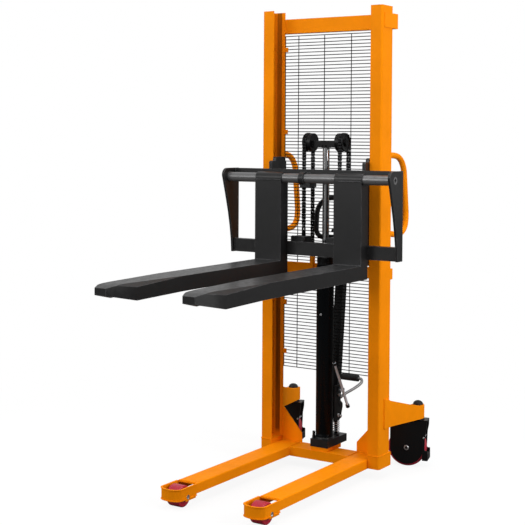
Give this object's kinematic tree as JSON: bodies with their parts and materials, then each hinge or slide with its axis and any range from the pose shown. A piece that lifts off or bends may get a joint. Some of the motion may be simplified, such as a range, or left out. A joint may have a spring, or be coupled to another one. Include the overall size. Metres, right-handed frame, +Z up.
{
  "type": "walkie stacker",
  "caption": "Manual hydraulic stacker with a two channel mast, outrigger legs, chain lifted fork carriage, adjustable forks, braked swivel casters and a hand and foot pump.",
  "frame": {"origin": "centre of the whole footprint, on the floor", "axes": "+Z up; forks and legs point to -Y, the operator stands at +Y, +X is to the right for someone looking along +Y"},
  "size_m": [0.8552, 1.5752, 1.98],
  "materials": {
    "orange_paint": "smooth satin powder coat",
    "grey_paint": "fine textured charcoal powder coat",
    "black_paint": "semi gloss black",
    "chain_steel": "blackened oiled steel",
    "zinc_steel": "bright zinc plated",
    "chrome": "hard chrome",
    "black_rubber": "matte moulded rubber",
    "red_tread": "cast polyurethane"
  },
  "bodies": {
    "chassis": {"top_cross_beam": "orange_paint", "middle_cross_beam": "orange_paint", "base_cross_beam": "orange_paint", "wire_guard": "black_paint", "pump_block": "black_paint", "cylinder_tube": "black_paint", "cylinder_gland": "black_paint", "bleed_screw": "zinc_steel", "pump_bracket": "black_paint", "pump_spring": "zinc_steel", "mast_channel_left": "orange_paint", "leg_left": "orange_paint", "load_axle_left": "zinc_steel", "caster_bracket_left": "orange_paint", "caster_cap_left": "black_rubber", "handle_left": "orange_paint", "lift_chain_left": "chain_steel", "mast_channel_right": "orange_paint", "leg_right": "orange_paint", "load_axle_right": "zinc_steel", "caster_bracket_right": "orange_paint", "caster_cap_right": "black_rubber", "handle_right": "orange_paint", "lift_chain_right": "chain_steel"},
    "ram": {"piston_rod": "chrome", "crosshead": "black_paint"},
    "carriage": {"carriage_upper_beam": "grey_paint", "carriage_lower_beam": "grey_paint", "fork_bar": "grey_paint", "carriage_side_plate_left": "grey_paint", "roller_plate_left": "grey_paint", "chain_stud_left": "zinc_steel", "carriage_side_plate_right": "grey_paint", "roller_plate_right": "grey_paint", "chain_stud_right": "zinc_steel"},
    "sheave_left": {"chain_sheave_left": "chain_steel"},
    "fork_body_left": {"fork_left": "grey_paint"},
    "caster_left": {"caster_yoke_left": "black_paint", "caster_axle_left": "zinc_steel"},
    "wheel_left": {"caster_wheel_left": "red_tread"},
    "brake_left": {"caster_brake_pedal_left": "black_paint"},
    "front_roller_left": {"load_roller_left": "red_tread"},
    "roller_lower_left": {"mast_roller_lower_left": "chain_steel"},
    "roller_upper_left": {"mast_roller_upper_left": "chain_steel"},
    "sheave_right": {"chain_sheave_right": "chain_steel"},
    "fork_body_right": {"fork_right": "grey_paint"},
    "caster_right": {"caster_yoke_right": "black_paint", "caster_axle_right": "zinc_steel"},
    "wheel_right": {"caster_wheel_right": "red_tread"},
    "brake_right": {"caster_brake_pedal_right": "black_paint"},
    "front_roller_right": {"load_roller_right": "red_tread"},
    "roller_lower_right": {"mast_roller_lower_right": "chain_steel"},
    "roller_upper_right": {"mast_roller_upper_right": "chain_steel"},
    "pump_lever": {"pump_rocker": "black_paint", "tiller": "black_paint", "foot_pedal": "chrome", "pedal_grip": "black_rubber"},
    "release_paddle": {"control_lever": "black_rubber"},
    "plunger": {"pump_plunger": "zinc_steel"},
    "lowering_rod": {"lowering_lever": "chrome"}
  },
  "joints": [
    {"name": "ram_lift", "type": "slide", "parent": "chassis", "child": "ram", "axis": [0, 0, 1], "range_m": [-0.3785, 0.32], "deforming": ["lift_chain_left", "lift_chain_right"]},
    {"name": "carriage_lift", "type": "slide", "parent": "ram", "child": "carriage", "axis": [0, 0, 1], "range_m": [-0.3785, 0.32]},
    {"name": "sheave_spin_left", "type": "hinge", "parent": "ram", "child": "sheave_left", "pos_m": [-0.06894, 0.47638, 1.409], "axis": [1, 0, 0], "range_deg": [-500, 590]},
    {"name": "mast_roller_spin_lower_left", "type": "hinge", "parent": "carriage", "child": "roller_lower_left", "pos_m": [-0.24244, 0.47318, 0.945], "axis": [1, 0, 0], "range_deg": [-930, 1100]},
    {"name": "mast_roller_spin_upper_left", "type": "hinge", "parent": "carriage", "child": "roller_upper_left", "pos_m": [-0.24244, 0.47318, 1.295], "axis": [1, 0, 0], "range_deg": [-1100, 930]},
    {"name": "sheave_spin_right", "type": "hinge", "parent": "ram", "child": "sheave_right", "pos_m": [0.10706, 0.47638, 1.409], "axis": [1, 0, 0], "range_deg": [-500, 590]},
    {"name": "mast_roller_spin_lower_right", "type": "hinge", "parent": "carriage", "child": "roller_lower_right", "pos_m": [0.28056, 0.47318, 0.945], "axis": [1, 0, 0], "range_deg": [-930, 1100]},
    {"name": "mast_roller_spin_upper_right", "type": "hinge", "parent": "carriage", "child": "roller_upper_right", "pos_m": [0.28056, 0.47318, 1.295], "axis": [1, 0, 0], "range_deg": [-1100, 930]},
    {"name": "fork_slide_right", "type": "slide", "parent": "carriage", "child": "fork_body_right", "axis": [1, 0, 0], "range_m": [-0.1, 0.125]},
    {"name": "fork_slide_left", "type": "slide", "parent": "carriage", "child": "fork_body_left", "axis": [1, 0, 0], "range_m": [-0.143, 0.076]},
    {"name": "caster_swivel_left", "type": "hinge", "parent": "chassis", "child": "caster_left", "pos_m": [-0.30044, 0.73938, 0.2], "axis": [0, 0, 1], "continuous": true},
    {"name": "caster_roll_left", "type": "hinge", "parent": "caster_left", "child": "wheel_left", "pos_m": [-0.34274, 0.72725, 0.0825], "axis": [0.2756, -0.9613, 0], "continuous": true},
    {"name": "caster_brake_press_left", "type": "hinge", "parent": "caster_left", "child": "brake_left", "pos_m": [-0.27064, 0.74792, 0.13], "axis": [0.2756, -0.9613, 0], "range_deg": [-5.5, 0]},
    {"name": "load_roller_spin_left", "type": "hinge", "parent": "chassis", "child": "front_roller_left", "pos_m": [-0.17269, -0.31562, 0.042], "axis": [1, 0, 0], "continuous": true},
    {"name": "caster_swivel_right", "type": "hinge", "parent": "chassis", "child": "caster_right", "pos_m": [0.33856, 0.73938, 0.2], "axis": [0, 0, 1], "continuous": true},
    {"name": "caster_roll_right", "type": "hinge", "parent": "caster_right", "child": "wheel_right", "pos_m": [0.29626, 0.72725, 0.0825], "axis": [0.2756, -0.9613, 0], "continuous": true},
    {"name": "caster_brake_press_right", "type": "hinge", "parent": "caster_right", "child": "brake_right", "pos_m": [0.36836, 0.74792, 0.13], "axis": [0.2756, -0.9613, 0], "range_deg": [-5.5, 0]},
    {"name": "load_roller_spin_right", "type": "hinge", "parent": "chassis", "child": "front_roller_right", "pos_m": [0.21081, -0.31562, 0.042], "axis": [1, 0, 0], "continuous": true},
    {"name": "pump_stroke", "type": "hinge", "parent": "chassis", "child": "pump_lever", "pos_m": [0.01906, 0.53438, 0.222], "axis": [1, 0, 0], "range_deg": [-40, 0], "deforming": ["pump_spring"]},
    {"name": "plunger_stroke", "type": "slide", "parent": "chassis", "child": "plunger", "axis": [0, 0, 1], "range_m": [-0.0295, 0.0005]},
    {"name": "control_lever_squeeze", "type": "hinge", "parent": "pump_lever", "child": "release_paddle", "pos_m": [0.01906, 0.6418, 1.04126], "axis": [0, 0.9945, -0.1045], "range_deg": [0, 18]},
    {"name": "lowering_lever_tilt", "type": "hinge", "parent": "chassis", "child": "lowering_rod", "pos_m": [0.07406, 0.53788, 0.3355], "axis": [1, 0, 0], "range_deg": [-12, 12]}
  ],
  "couplings": [
    {"joint": "carriage_lift", "follows": "ram_lift", "ratio": 1},
    {"joint": "sheave_spin_left", "follows": "ram_lift", "rad_per_m": -27.027},
    {"joint": "mast_roller_spin_lower_left", "follows": "ram_lift", "rad_per_m": -46.729},
    {"joint": "mast_roller_spin_upper_left", "follows": "ram_lift", "rad_per_m": 46.729},
    {"joint": "sheave_spin_right", "follows": "ram_lift", "rad_per_m": -27.027},
    {"joint": "mast_roller_spin_lower_right", "follows": "ram_lift", "rad_per_m": -46.729},
    {"joint": "mast_roller_spin_upper_right", "follows": "ram_lift", "rad_per_m": 46.729},
    {"joint": "plunger_stroke", "follows": "pump_stroke", "m_per_rad": 0.0416}
  ]
}
